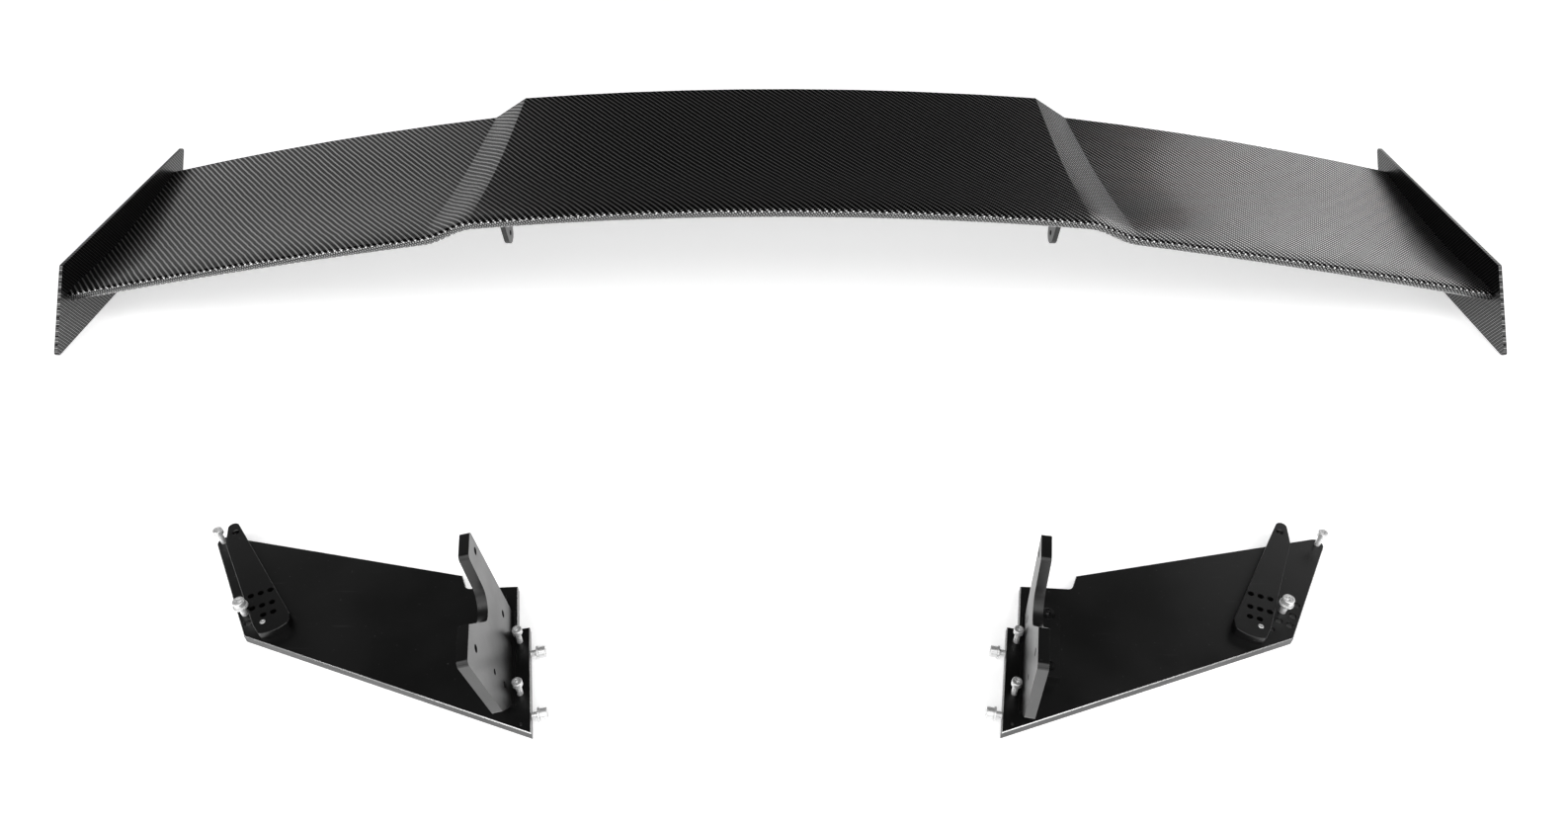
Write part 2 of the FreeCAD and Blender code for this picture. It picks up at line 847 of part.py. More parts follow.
def plate_grid(row, column):
    """Place (along, across) of a locking hole of the plate; column 0 is the one by the edge."""
    edge = edge_direction()
    inward = Vector(edge.y, -edge.x, 0)
    distance = size("plate_grid_start")
    if row > 0:
        distance += size("grid_row_near")
    if row > 1:
        distance += size("grid_row_far")
    depth = size("plate_grid_in") + column * size("plate_grid_column")
    place = Vector(size("elbow_along"), size("elbow_across"), 0) + edge * distance + inward * depth
    return place.x, place.y


def arm_grid():
    """Places (along, across) of the arm's locking holes; the row by the pivot has two."""
    second = size("arm_grid_start") + size("arm_row_near")
    rows = [size("arm_grid_start"), second, second + size("arm_row_far")]
    places = []
    for number, along in enumerate(rows):
        for column in (-1, 0, 1):
            if number > 0 or column < 1:
                places.append((along, -size("arm_grid_inset") + column * size("arm_grid_column")))
    return places


def pivot_place(name):
    return size(name + "_pivot_along"), size(name + "_pivot_across")


def lock_bolt_place(name):
    """The left stand's lock bolt stands in the outer column of its grid, the right one's next to it."""
    return plate_grid(1, 0 if name == "left" else 1)


def margin_places():
    first = size("margin_first")
    return [(first, size("margin_across")), (first + size("margin_pitch"), size("margin_across"))]


def foot_screw_places(name):
    """Along and across the stand, with the foot bracket where this stand has it."""
    first = size("foot_screw_first") - size(name + "_foot_nearer")
    return [(first, size("foot_screw_across")),
            (first + size("foot_screw_pitch"), size("foot_screw_across"))]


def make_stand_plate(name, side):
    body = new_body("stand_plate_" + name)
    sketch = new_sketch(body, "XY_Plane")
    outline = [("0", "0"), ("0", cell("base_edge")),
               (cell("tongue_step"), cell("base_edge")), (cell("tongue_step"), cell("tongue_end")),
               (cell("slot_bottom_across"), cell("slot_bottom_along")),
               (cell("slot_end_across"), cell("slot_end_along")),
               (cell("tip_across"), cell("tip_along")), (cell("elbow_across"), cell("elbow_along"))]
    corners = [(mirrored(side, across), along) for across, along in outline]
    draw_polygon(sketch, corners)
    free = cell("small_bolt_radius") + " + " + cell("hole_clearance")
    tapped = cell("bolt_radius") + " + " + cell("thread_clearance")
    holes = [(place, cell("grid_hole_radius"))
             for place in [plate_grid(row, column) for row in range(3) for column in range(3)]]
    holes += [(place, free) for place in margin_places()]
    holes.append(((size("corner_bolt_along"), size("corner_bolt_across")), free))
    holes += [(place, tapped) for place in foot_screw_places(name)]
    holes += [(pivot_place(stand), cell("pivot_radius")) for stand in SIDES]
    holes.append(((size("peg_hole_along"), size("peg_hole_across")), cell("peg_hole_radius")))
    for (along, across), radius in holes:
        draw_circle(sketch, "%.6f" % (side * across), "%.6f" % along, radius)
    pad(body, sketch, cell("plate_thick"))
    spots = [Vector(value(across), value(along), 0) for across, along in corners]
    round_edges(body, [spots[6]], cell("tip_corner"))
    round_edges(body, [spots[4]], cell("slot_corner"))
    bolt_holes = new_sketch(body, "YZ_Plane")
    for number in range(2):
        along = "%s + %s * %d" % (cell("base_bolt_first"), cell("base_bolt_pitch"), number)
        draw_circle(bolt_holes, along, cell("plate_thick") + " / 2", tapped)
    depth = "%s - %s + %s" % (cell("base_bolt_long"), cell("base_bolt_proud"),
                              cell("base_bolt_spare"))
    pocket(body, bolt_holes, depth, backwards=side > 0)
    break_outline(body, cell("edge_break"), size("plate_thick"))
    body.Placement = stand_frame(side)
    keep("stand_plate_" + name, body)


def make_arm(name, side):
    """Tapered link: a wide heel with the locking holes, and a round tip with its bush."""
    body = new_body("adjuster_arm_" + name)
    sketch = new_sketch(body, "XY_Plane")
    centre = Vector(size("arm_tip_along"), size("arm_tip_across"), 0)
    tip_radius = size("arm_tip_radius")
    heel_in, heel_out = Vector(0, -size("arm_heel_in"), 0), Vector(0, size("arm_heel_out"), 0)
    shoulder = Vector(size("arm_shoulder_along"), size("arm_shoulder_across"), 0)
    touch_in = touch_point(heel_in, centre, tip_radius, 1)
    touch_out = touch_point(shoulder, centre, tip_radius, -1)
    end = centre + (centre - (heel_in + heel_out) * 0.5).normalize() * tip_radius

    def local(point):
        return Vector(side * point.y, point.x, 0)

    low_in = Vector(-size("arm_heel_inner_back"), -size("arm_heel_inner_across"), 0)
    low_out = Vector(-size("arm_heel_outer_back"), size("arm_heel_outer_across"), 0)
    low_mid = Vector(-size("arm_heel_back"), (low_in.y + low_out.y) / 2, 0)
    path = [Part.LineSegment(local(heel_in), local(touch_in)),
            Part.Arc(local(touch_in), local(end), local(touch_out)),
            Part.LineSegment(local(touch_out), local(shoulder)),
            Part.LineSegment(local(shoulder), local(heel_out)),
            Part.LineSegment(local(heel_out), local(low_out)),
            Part.Arc(local(low_out), local(low_mid), local(low_in)),
            Part.LineSegment(local(low_in), local(heel_in))]
    for curve in path:
        index = sketch.addGeometry(curve, False)
        sketch.addConstraint(Sketcher.Constraint("Block", index))
    for along, across in arm_grid():
        draw_circle(sketch, "%.6f" % (side * across), "%.6f" % along, cell("arm_grid_radius"))
    draw_circle(sketch, "0", "0", cell("pivot_radius") + " + " + cell("pivot_clearance"))
    draw_circle(sketch, mirrored(side, cell("arm_hole_across")), cell("arm_hole_along"),
                cell("tip_bush_radius") + " + " + cell("thread_clearance"))
    pad(body, sketch, cell("arm_thick"))
    round_edges(body, [local(low_in), local(low_out)], cell("arm_heel_corner"))
    round_edges(body, [local(shoulder)], cell("arm_shoulder_round"))
    break_outline(body, cell("arm_edge_break"), size("arm_thick"))
    body.Placement = arm_frame(name, side)
    keep("adjuster_arm_" + name, body)


def arm_frame(name, side):
    along, across = pivot_place(name)
    turn = Rotation(Vector(0, 0, 1), -side * size(name + "_arm_turn"))
    return in_stand(side, along, across, size("plate_thick"), turn)


def make_arm_fittings(name, side):
    thick, chamfer = cell("arm_thick"), cell("edge_break")
    bush = turned("arm_tip_bush_" + name, [
        (cell("tip_bush_bore"), "0"), (cell("tip_bush_radius"), "0"),
        (cell("tip_bush_radius"), thick), (cell("tip_bush_bore") + " + " + chamfer, thick),
        (cell("tip_bush_bore"), thick + " - " + chamfer)])
    tip = Placement(Vector(side * size("arm_hole_across"), size("arm_hole_along"), 0), Rotation())
    bush.Placement = arm_frame(name, side).multiply(tip)
    keep("arm_tip_bush_" + name, bush)
    radius = cell("pivot_radius")
    top = cell("plate_thick") + " + " + thick
    pin = turned("arm_pivot_pin_" + name, [
        ("0", "0"), (radius, "0"), (radius, top + " - " + chamfer),
        (radius + " - " + chamfer, top), ("0", top)],
        (top, cell("pin_socket_wide"), cell("pin_socket_deep")))
    along, across = pivot_place(name)
    pin.Placement = in_stand(side, along, across, 0)
    keep("arm_pivot_pin_" + name, pin)


def cap_screw(label, long, kind=""):
    """Socket head cap screw; its head sits on height 0 and its shank runs down."""
    radius, head = cell(kind + "bolt_radius"), cell((kind or "bolt_") + "head_radius")
    tall = cell((kind or "bolt_") + "head_tall")
    chamfer = cell("edge_break")
    profile = [("0", "-" + long), (radius, "-" + long), (radius, "0"), (head, "0"),
               (head, tall + " - " + chamfer), (head + " - " + chamfer, tall), ("0", tall)]
    socket = (tall, cell(kind + "socket_wide"), cell(kind + "socket_deep"))
    return turned(label, profile, socket)


def washer(label):
    bore = cell("bolt_radius") + " + " + cell("washer_clearance")
    profile = [(bore, "-" + cell("washer_thick")), (cell("washer_radius"), "-" + cell("washer_thick")),
               (cell("washer_radius"), "0"), (bore, "0")]
    return turned(label, profile)


def standing_bolt(label, side, place, kind=""):
    """A cap screw that stands through the plate with its tip on the floor."""
    along, across = place
    screw = cap_screw(label, cell(kind + "bolt_long"), kind)
    screw.Placement = in_stand(side, along, across, size(kind + "bolt_long") - size("stand_lift"))
    return screw


def make_standing_bolts(name, side):
    corner = (size("corner_bolt_along"), size("corner_bolt_across"))
    keep("corner_bolt_" + name, standing_bolt("corner_bolt_" + name, side, corner, "small_"))
    lock_bolt = standing_bolt("arm_lock_bolt_" + name, side, lock_bolt_place(name))
    keep("arm_lock_bolt_" + name, lock_bolt)
    ring = washer("lock_washer_" + name)
    ring.Placement = lock_bolt.Placement
    keep("bolt_washers_" + name, ring)
    group("margin_bolts_" + name, [
        standing_bolt("margin_bolt_%s_%d" % (name, number), side, place, "small_")
        for number, place in enumerate(margin_places(), start=1)])


def make_base_bolts(name, side):
    """Cap screws in the plate's base edge, half screwed in, with a washer under each head."""
    screws, rings = [], []
    outward = Rotation(Vector(0, 0, 1), Vector(-side, 0, 0))
    for number in range(2):
        along = size("base_bolt_first") + size("base_bolt_pitch") * number
        seat = in_stand(side, along, -size("base_bolt_proud"), size("plate_thick") / 2, outward)
        screw = cap_screw("base_bolt_%s_%d" % (name, number + 1), cell("base_bolt_long"))
        screw.Placement = seat
        screws.append(screw)
        ring = washer("base_washer_%s_%d" % (name, number + 1))
        ring.Placement = seat
        rings.append(ring)
    group("base_bolts_" + name, screws)
    group("base_bolt_washers_" + name, rings)


def make_foot(name, side):
    """Foot bracket: a flange on the plate and a forked leg that stands up from it."""
    body = new_body("foot_bracket_" + name)
    inner, leg_out = cell("foot_in"), cell("foot_in") + " + " + cell("foot_thick")
    heel_in = cell("foot_heel_in")

    def flat(corners):
        return [(mirrored(side, across), along) for across, along in corners]

    heel = new_sketch(body, "XY_Plane")
    draw_polygon(heel, flat([
        (heel_in, cell("foot_heel_near")), (leg_out, cell("foot_heel_near")),
        (leg_out, cell("foot_far_along")), (heel_in, cell("foot_far_along"))]))
    pad(body, heel, cell("foot_heel_tall"))
    flange = new_sketch(body, "XY_Plane")
    middle = "%s + %s / 2" % (inner, cell("foot_thick"))
    draw_polygon(flange, flat([
        (middle, cell("foot_flange_near")), (cell("foot_out"), cell("foot_flange_near")),
        (cell("foot_out"), cell("foot_flange_far")), (middle, cell("foot_flange_far"))]))
    hole = cell("bolt_radius") + " + " + cell("hole_clearance")
    for number in range(2):
        along = "%s + %s * %d" % (cell("foot_screw_first"), cell("foot_screw_pitch"), number)
        draw_circle(flange, mirrored(side, cell("foot_screw_across")), along, hole)
    pad(body, flange, cell("foot_flange_thick"))
    far_corner = Vector(side * size("foot_out"), size("foot_flange_far"), 0)
    round_edges(body, [far_corner], cell("foot_corner"))
    sink_foot_screws(body)
    leg = new_sketch(body, "YZ_Plane", {
        "Base.z": mirrored(side, inner),
        "Rotation.Angle": mirrored(side, cell(name + "_foot_lean"))})
    leg.setExpression("AttachmentOffset.Rotation.Axis.x", "1")
    leg.setExpression("AttachmentOffset.Rotation.Axis.z", "0")
    near_top = "-" + cell("foot_near_top_back")
    corners = [(cell("foot_heel_near"), cell("foot_sink")),
               (cell("foot_near_low_along"), cell("foot_near_low_up")),
               (near_top, cell("foot_near_tall")),
               (near_top + " + " + cell("foot_near_wide"), cell("foot_near_tall")),
               (cell("foot_notch_along"), cell("foot_notch_up")),
               (cell("foot_notch_along"), cell("foot_horn_tall")),
               (cell("foot_notch_along") + " + " + cell("foot_horn_wide"), cell("foot_horn_tall")),
               (cell("foot_far_along"), cell("foot_sink"))]
    draw_polygon(leg, corners)
    for bore in FOOT_BORES:
        draw_circle(leg, cell("bore_%s_along" % bore), cell("bore_%s_up" % bore),
                    cell("bore_%s_radius" % bore))
    doc.recompute()
    pad(body, leg, cell("foot_thick"), backwards=side < 0)
    across_leg = leg.Placement.Rotation.multVec(Vector(0, 0, 1))
    spots = [leg.Placement.multVec(Vector(value(along), value(up), 0)) for along, up in corners]
    round_edges(body, [spots[4]], cell("foot_notch_radius"), across_leg)
    round_edges(body, [spots[1]], cell("foot_near_low_round"), across_leg)
    round_edges(body, [spots[number] for number in (2, 5, 6)], cell("foot_corner"), across_leg)
    body.Placement = in_stand(side, -size(name + "_foot_nearer"), 0, size("plate_thick"))
    keep("foot_bracket_" + name, body)


def sink_foot_screws(body):
    """Countersinks the flange's holes on top."""
    base = body.Tip
    names = []
    for number, edge in enumerate(base.Shape.Edges, start=1):
        if edge.Curve.TypeId != "Part::GeomCircle" or len(edge.Vertexes) > 1:
            continue
        if abs(edge.CenterOfMass.z - size("foot_flange_thick")) < 0.01:
            names.append("Edge%d" % number)
    feature = body.newObject("PartDesign::Chamfer", body.Name + "_sinks")
    feature.Base = (base, names)
    feature.setExpression("Size", cell("foot_screw_head"))
    doc.recompute()


def make_foot_screws(name, side):
    screws = []
    top = size("plate_thick") + size("foot_flange_thick")
    for number, (along, across) in enumerate(foot_screw_places(name), start=1):
        screw = countersunk_screw("foot_screw_%s_%d" % (name, number), cell("bolt_radius"),
                                  cell("foot_screw_head"), cell("foot_screw_long"),
                                  cell("foot_screw_socket"))
        screw.Placement = in_stand(side, along, across, top)
        screws.append(screw)
    group("foot_screws_" + name, screws)


# ---------------------------------------------------------------- build and write

def make_wing():
    make_skins()
    make_spars()
    make_end_ribs()
    make_mount_blocks()
    make_mount_tabs()
    make_tab_screws()
    make_end_plates()
    make_root_fixings()


def make_stands():
    for name, side in SIDES.items():
        make_stand_plate(name, side)
        make_arm(name, side)
        make_arm_fittings(name, side)
        make_standing_bolts(name, side)
        make_base_bolts(name, side)
        make_foot(name, side)
        make_foot_screws(name, side)


def check_document():
    """Stops if any object failed or any node's shape is missing or broken."""
    doc.recompute()
    for item in doc.Objects:
        if "Invalid" in item.State or "Error" in item.State:
            raise RuntimeError(item.Label + " failed: " + str(item.State))
    for node in nodes:
        if node.Shape.isNull() or not node.Shape.isValid():
            raise RuntimeError(node.Label + " has no valid shape")


def write_nodes():
    os.makedirs("parts", exist_ok=True)
    for node in nodes:
        node.Shape.exportStep(os.path.join("parts", node.Label + ".step"))


fill_sheet()
make_wing()
make_stands()
check_document()
write_nodes()
print("wrote %d nodes" % len(nodes))
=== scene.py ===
"""Looks of the racing rear wing kit: woven carbon, black anodised stands and bright screws.

Metres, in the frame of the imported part: +X along the span, +Y from the leading edge back, +Z up.
In order: sizes and tables, shader nodes, materials, finer pieces, screws, and the studio.
"""
import json
import math

import bmesh
import bpy
from mathutils import Matrix, Vector


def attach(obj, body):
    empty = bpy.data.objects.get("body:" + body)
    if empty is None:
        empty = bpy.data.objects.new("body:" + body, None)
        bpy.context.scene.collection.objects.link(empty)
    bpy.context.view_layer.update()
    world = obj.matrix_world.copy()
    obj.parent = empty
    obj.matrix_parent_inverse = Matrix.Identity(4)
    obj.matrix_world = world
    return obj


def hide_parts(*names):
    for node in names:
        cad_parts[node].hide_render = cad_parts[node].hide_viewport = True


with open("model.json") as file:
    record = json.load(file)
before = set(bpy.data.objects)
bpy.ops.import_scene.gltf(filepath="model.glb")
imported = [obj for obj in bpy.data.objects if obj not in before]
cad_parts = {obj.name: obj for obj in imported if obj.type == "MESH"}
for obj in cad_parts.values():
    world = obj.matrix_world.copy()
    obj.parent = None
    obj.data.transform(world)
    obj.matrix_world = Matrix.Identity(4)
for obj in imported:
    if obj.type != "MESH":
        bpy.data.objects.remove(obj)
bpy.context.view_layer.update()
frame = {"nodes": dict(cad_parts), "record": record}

MM = 0.001
SIDES = ("left", "right")

CAMERA_PLACE = (0.0, -0.8380, 0.7009)
CAMERA_DOWN = 41.14
CAMERA_LENS = 22.34
CAMERA_SENSOR = 36.0
CAMERA_SHIFT = 0.0022

# carbon cloth: width of one tow, how far its crown stands up, and how far it strays sideways
TOW_WIDE = 1.95 * MM
TOW_CROWN = 0.10 * MM
TOW_STRAY = 0.5 * TOW_WIDE
TWILL_REPEAT = 4.0
CLOTH_TURN = 4.0

# where the skin's normal leans this far to the front or back, the cloth is laid out by height
NOSE_LEAN = 0.72
# and there the weave's painted sheen gives way to one even tone, a painted highlight along the
# nose
NOSE_SHEEN_TONE = 0.22

# chamfers of the anodised plates: |Z| of their normal, give or take, where the black has worn
CHAMFER_UP = 0.66
CHAMFER_RANGE = 0.28

# rounding of edges, and what counts as a sharp edge, a flat one and one corner
SOFT_EDGE = 0.25 * MM
FINE_EDGE = SOFT_EDGE / 2
END_PLATE_EDGE = 0.7 * MM
SHARP_ANGLE = math.radians(25)
FLAT_ANGLE = math.radians(0.6)
SAME_CORNER = 1e-6

# the bush in an arm's tip swings over the stand plate, so its lower face is raised by this
BUSH_LIFT = 0.05 * MM

# nodes that get rounded edges: stem of the name, rounding, lift of the lowest face
ROUNDED = (
    ("stand_plate_", SOFT_EDGE, 0.0),
    ("adjuster_arm_", SOFT_EDGE, 0.0),
    ("foot_bracket_", SOFT_EDGE, 0.0),
    ("mount_tab_", SOFT_EDGE, 0.0),
    ("end_plate_", END_PLATE_EDGE, 0.0),
    ("arm_pivot_pin_", FINE_EDGE, 0.0),
    ("bolt_washers_", FINE_EDGE, 0.0),
    ("base_bolt_washers_", FINE_EDGE, 0.0),
    ("arm_tip_bush_", FINE_EDGE, BUSH_LIFT),
)

# nodes of screws: stem of the name, width of the hex socket
CAP_SCREWS = (
    ("margin_bolts_", 4.0 * MM),
    ("corner_bolt_", 4.0 * MM),
    ("arm_lock_bolt_", 5.0 * MM),
    ("base_bolts_", 5.0 * MM),
)
FLUSH_SCREWS = (
    ("foot_screws_", 4.0 * MM),
    ("end_plate_screws_", 3.0 * MM),
    ("tab_screws_", 3.6 * MM),
)

# screws: corners of a ring, knurls of a head and their depth
AROUND = 36
KNURLS = 18
KNURL_DEEP = 0.10 * MM

# threads: pitch of the thick screws and of the others, depth as a share of the pitch, and
# rings of corners in one pitch
THICK_RADIUS = 2.75 * MM
THICK_PITCH = 1.0 * MM
THIN_PITCH = 0.8 * MM
THREAD_DEEP = 0.3
THREAD_RINGS = 4

# a packed screw's head has the corners beyond this share of its largest radius, and its tip the
# corners within this height
HEAD_SHARE = 0.85
TIP_TALL = 0.1 * MM

# nodes whose surface differs a little from the others in their slot
OWN_FINISH = {
    "foot_bracket_": "foot_anodised",
    "adjuster_arm_": "arm_anodised",
    "mount_tab_": "arm_anodised",
    "arm_tip_bush_": "black_steel",
}
FINISH = {stem + side: finish for stem, finish in OWN_FINISH.items() for side in SIDES}

SLOTS = {part["node"]: part["material_slot"] for part in frame["record"]["subparts"]}
BODY_OF = {node: body for body, nodes in frame["record"]["behaviour"]["bodies"].items()
           for node in nodes}

FLOOR_HALF = 6.0
FLOOR_DROP = 0.5 * MM
FLOOR_LIFT = 0.55
FLOOR_LIFT_FAR = 1.0
FLOOR_NEAR = 1.2
FLOOR_FAR = 4.0
GLOSS_LIFT = 0.8

WORLD_STRENGTH = 0.055

# soft lamps: name, place, what it points at, width, height and watts
LAMPS = (
    ("right_lamp", (2.25, 1.65, 1.0), (0.5, 0.1, 0.1), 1.6, 1.9, 12.8),
    ("left_lamp", (-2.0, 1.9, 1.0), (-0.5, 0.1, 0.1), 1.6, 1.9, 4.8),
    ("right_fill", (2.8, -1.6, 2.4), (0.4, 0, 0), 2.8, 2.4, 48),
    ("left_fill", (-2.8, -1.6, 2.4), (-0.4, 0, 0), 2.8, 2.4, 48),
    ("main_lamp", (0.0, -1.8, 3.2), (0, 0, 0), 3.4, 2.4, 52),
    ("front_lamp", (0.0, -3.2, 1.4), (0, 0, 0), 6.0, 1.8, 60),
)


# ---------------------------------------------------------------- shader nodes

class Shader:
    """A material under construction, with short calls for the nodes that it uses."""

    def __init__(self, name):
        self.material = bpy.data.materials.new(name)
        self.material.use_nodes = True
        self.tree = self.material.node_tree
        self.surface = self.tree.nodes["Principled BSDF"]

    def add(self, kind, **settings):
        node = self.tree.nodes.new(kind)
        for name, setting in settings.items():
            setattr(node, name, setting)
        return node

    def feed(self, socket, source):
        """A socket takes a number or colour as it is, or a link from another node's output."""
        if isinstance(source, bpy.types.NodeSocket):
            self.tree.links.new(source, socket)
        else:
            socket.default_value = source

    def set(self, **inputs):
        """Feeds the surface's own inputs, with _ for the spaces in their names."""
        for name, source in inputs.items():
            self.feed(self.surface.inputs[name.replace("_", " ")], source)

    def math(self, operation, first, second=0.0, third=None):
        node = self.add("ShaderNodeMath", operation=operation)
        self.feed(node.inputs[0], first)
        self.feed(node.inputs[1], second)
        if third is not None:
            self.feed(node.inputs[2], third)
        return node.outputs[0]

    def place(self):
        return self.add("ShaderNodeTexCoord").outputs["Object"]

    def normal(self):
        """X, Y and Z of the surface's normal in the object's own frame."""
        return self.split(self.add("ShaderNodeTexCoord").outputs["Normal"])

    def split(self, vector):
        node = self.add("ShaderNodeSeparateXYZ")
        self.feed(node.inputs[0], vector)
        return node.outputs

    def join(self, x, y, z):
        node = self.add("ShaderNodeCombineXYZ")
        for socket, source in zip(node.inputs, (x, y, z)):
            self.feed(socket, source)
        return node.outputs[0]

    def stretch(self, vector, scale, turn=(0, 0, 0)):
        node = self.add("ShaderNodeMapping")
        self.feed(node.inputs["Vector"], vector)
        node.inputs["Scale"].default_value = scale
        node.inputs["Rotation"].default_value = [math.radians(angle) for angle in turn]
        return node.outputs[0]

    def noise(self, vector, scale, detail=4.0, roughness=0.5):
        """Cloudy number about 0.5; the scale is in clouds a metre."""
        node = self.add("ShaderNodeTexNoise")
        self.feed(node.inputs["Vector"], vector)
        node.inputs["Scale"].default_value = scale
        node.inputs["Detail"].default_value = detail
        node.inputs["Roughness"].default_value = roughness
        return node.outputs["Fac"]

    def ramp(self, source, low, high, start=0.0, end=1.0):
        """Maps low..high of the source to start..end, smoothly."""
        node = self.add("ShaderNodeMapRange", interpolation_type="SMOOTHSTEP")
        self.feed(node.inputs["Value"], source)
        for name, value in (("From Min", low), ("From Max", high),
                            ("To Min", start), ("To Max", end)):
            self.feed(node.inputs[name], value)
        return node.outputs[0]

    def choose(self, share, first, second):
        """Number mixed from the first at share 0 to the second at share 1."""
        node = self.add("ShaderNodeMix", data_type="FLOAT")
        self.feed(node.inputs[0], share)
        self.feed(node.inputs[2], first)
        self.feed(node.inputs[3], second)
        return node.outputs[0]

    def mix(self, share, first, second):
        """Colour mixed from the first at share 0 to the second at share 1."""
        node = self.add("ShaderNodeMix", data_type="RGBA")
        self.feed(node.inputs["Factor"], share)
        self.feed(node.inputs["A"], first)
        self.feed(node.inputs["B"], second)
        return node.outputs["Result"]

    def bump(self, height, distance, strength=1.0):
        node = self.add("ShaderNodeBump")
        node.inputs["Strength"].default_value = strength
        node.inputs["Distance"].default_value = distance
        self.feed(node.inputs["Height"], height)
        return node.outputs[0]


def grey(value, tint=(1.0, 1.0, 1.0)):
    return (value * tint[0], value * tint[1], value * tint[2], 1.0)


# ---------------------------------------------------------------- materials

def twill(shader, across, along):
    """2x2 twill cloth of tows that run across (weft) and along (warp).

    Gives where the weft lies on top, and the crown of the top tow over its width and its length.
    """
    column = shader.math("DIVIDE", across, TOW_WIDE)
    row = shader.math("DIVIDE", along, TOW_WIDE)
    column_in = shader.math("FRACT", column)
    row_in = shader.math("FRACT", row)
    diagonal = shader.math("ADD", shader.math("FLOOR", row), shader.math("FLOOR", column))
    phase = shader.math("FLOORED_MODULO", diagonal, TWILL_REPEAT)
    weft_on_top = shader.math("GREATER_THAN", phase, 1.5)
    weft_phase = shader.math("SUBTRACT", phase, 2.0)
    warp_share = shader.math("MULTIPLY", shader.math("ADD", phase, row_in), 0.5)
    weft_share = shader.math("MULTIPLY", shader.math("ADD", weft_phase, column_in), 0.5)

    def crown(share):
        return shader.math("SINE", shader.math("MULTIPLY", share, math.pi))

    width_crown = shader.choose(weft_on_top, crown(column_in), crown(row_in))
    length_crown = shader.choose(weft_on_top, crown(warp_share), crown(weft_share))
    return weft_on_top, width_crown, length_crown


def carbon(name, across, along, weft_sheen_tone, warp_shade_tone, roughness, turn=CLOTH_TURN, tow_size=1.0,
           over_nose=False):
    """Woven carbon under clear resin; across and along name the axes that the tows follow."""
    shader = Shader(name)
    place = shader.place()
    wander = shader.noise(place, scale=45.0, detail=1.0)
    stray = shader.math("MULTIPLY", shader.math("SUBTRACT", wander, 0.5), TOW_STRAY)
    axes = dict(zip("xyz", shader.split(place)))
    if over_nose:
        ahead = shader.math("ABSOLUTE", shader.normal()[1])
        at_nose = shader.math("GREATER_THAN", ahead, NOSE_LEAN)
        axes["y"] = shader.choose(at_nose, axes["y"], axes["z"])

    cosine = math.cos(math.radians(turn)) / tow_size
    sine = math.sin(math.radians(turn)) / tow_size
    warp_way = shader.math("MULTIPLY_ADD", axes[along], -sine,
                           shader.math("MULTIPLY_ADD", axes[across], cosine, stray))
    weft_way = shader.math("MULTIPLY_ADD", axes[along], cosine,
                           shader.math("MULTIPLY_ADD", axes[across], sine, stray))
    weft, width_crown, length_crown = twill(shader, warp_way, weft_way)

    # the weft takes a far brighter tone than the warp of the same fibre: a painted sheen on one
    # direction of tows and painted shade on the other
    tone = shader.choose(weft, warp_shade_tone, weft_sheen_tone)
    if over_nose:
        tone = shader.choose(at_nose, tone, NOSE_SHEEN_TONE)
        # brighter still where the skin faces further to the front or back: a painted highlight
        # along the nose and the trailing edge
        tone = shader.math("MULTIPLY", tone, shader.ramp(ahead, 0.2, 0.6, 1.0, 1.4))
    strand = shader.noise(place, scale=1400.0, detail=1.0)
    rib = shader.math("MULTIPLY_ADD", width_crown, 0.2,
                      shader.math("MULTIPLY", length_crown, 0.8))
    # each float is bright at its crown and dark where it dives under: a painted highlight and
    # painted shade, times a random tone that differs from strand to strand
    shade = shader.math("MULTIPLY", shader.ramp(rib, 0.58, 0.92, 0.01, 1.0),
                        shader.ramp(strand, 0.3, 0.7, 0.85, 1.1))
    bright = shader.math("MULTIPLY", tone, shade)
    height = shader.math("MULTIPLY_ADD", width_crown, 0.5,
                         shader.math("MULTIPLY", length_crown, 0.5))
    shader.set(Base_Color=shader.join(bright, bright, bright), Metallic=1.0, Roughness=roughness,
               Normal=shader.bump(height, TOW_CROWN, 0.5), Coat_Weight=0.25, Coat_Roughness=0.12)
    return shader.material


def anodised(name, shine=0.5, worn_tone=0.0):
    """Satin black anodised aluminium with faint scratches and dust.

    With a worn tone, its chamfers have been rubbed down to metal of that tone.
    """
    shader = Shader(name)
    place = shader.place()
    grain = shader.noise(place, scale=900.0, detail=3.0)
    cloud = shader.noise(place, scale=14.0, detail=5.0)
    streaks = shader.noise(shader.stretch(place, (18, 420, 60), (0, 0, 31)), scale=1.0, detail=2.0)
    scratches = shader.math("MULTIPLY", shader.ramp(streaks, 0.70, 0.76), 0.3)
    specks = shader.ramp(shader.noise(place, scale=420.0, detail=1.0), 0.74, 0.80)
    colour = shader.mix(shader.math("MAXIMUM", scratches, specks), grey(0.002), grey(0.04))
    rough = shader.ramp(cloud, 0.3, 0.7, 0.30, 0.40)
    if worn_tone:
        up = shader.math("ABSOLUTE", shader.normal()[2])
        chamfer = shader.math("COMPARE", up, CHAMFER_UP, CHAMFER_RANGE)
        rubbed = shader.math("MULTIPLY", chamfer, shader.ramp(cloud, 0.25, 0.5, 0.4, 1.0))
        colour = shader.mix(rubbed, colour, grey(worn_tone))
        rough = shader.choose(rubbed, rough, 0.22)
        shader.set(Metallic=shader.math("MULTIPLY", rubbed, 0.9))
    shader.set(Base_Color=colour, Roughness=rough, Specular_IOR_Level=shine,
               Normal=shader.bump(grain, 0.02 * MM))
    return shader.material


